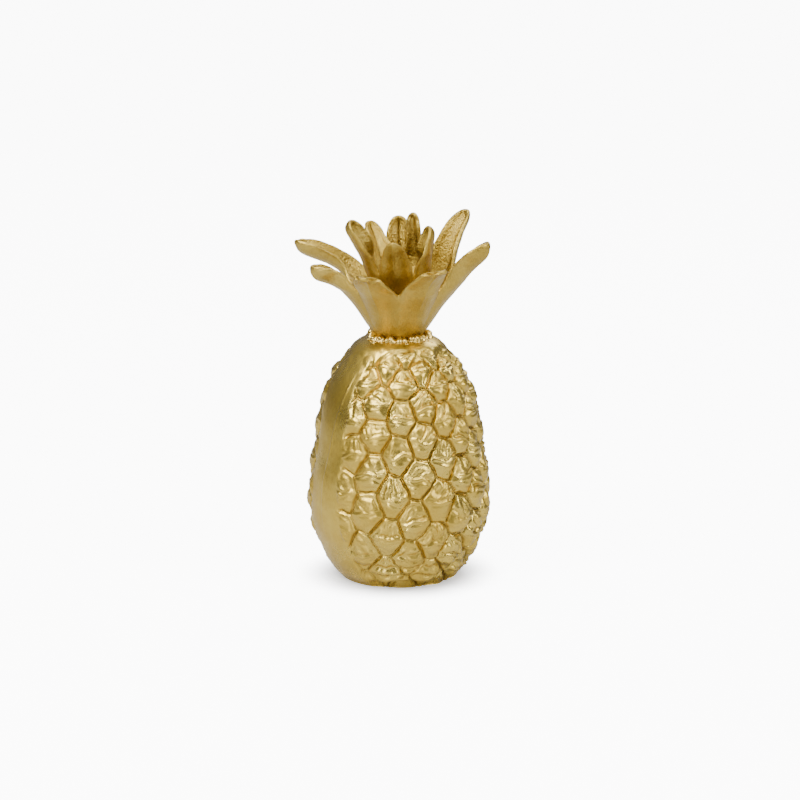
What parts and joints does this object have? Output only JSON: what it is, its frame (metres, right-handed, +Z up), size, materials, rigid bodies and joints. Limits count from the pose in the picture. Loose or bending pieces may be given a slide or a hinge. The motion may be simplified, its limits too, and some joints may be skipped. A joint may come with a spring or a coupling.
{
  "type": "pineapple sculpture",
  "caption": "Standing pineapple ornament in satin gold cast metal: a carved fruit with smooth side bands, flat underneath, and a flaring leaf crown welded on top.",
  "frame": {"origin": "centre of the flat underside that the sculpture stands on", "axes": "+Z up along the fruit's axis; -Y is the middle of the front casting, and the ground parting bands run up the sides at -X and +X"},
  "size_m": [0.0993, 0.1012, 0.1995],
  "materials": {
    "fruit_gold": "satin gold over a carved casting",
    "weld_gold": "satin gold over a lumpy weld bead",
    "leaf_gold": "satin gold over sand-cast leaves"
  },
  "bodies": {
    "root": {"fruit": "fruit_gold", "neck_weld": "weld_gold", "outer_leaves": "leaf_gold", "inner_leaves": "leaf_gold"}
  },
  "joints": []
}
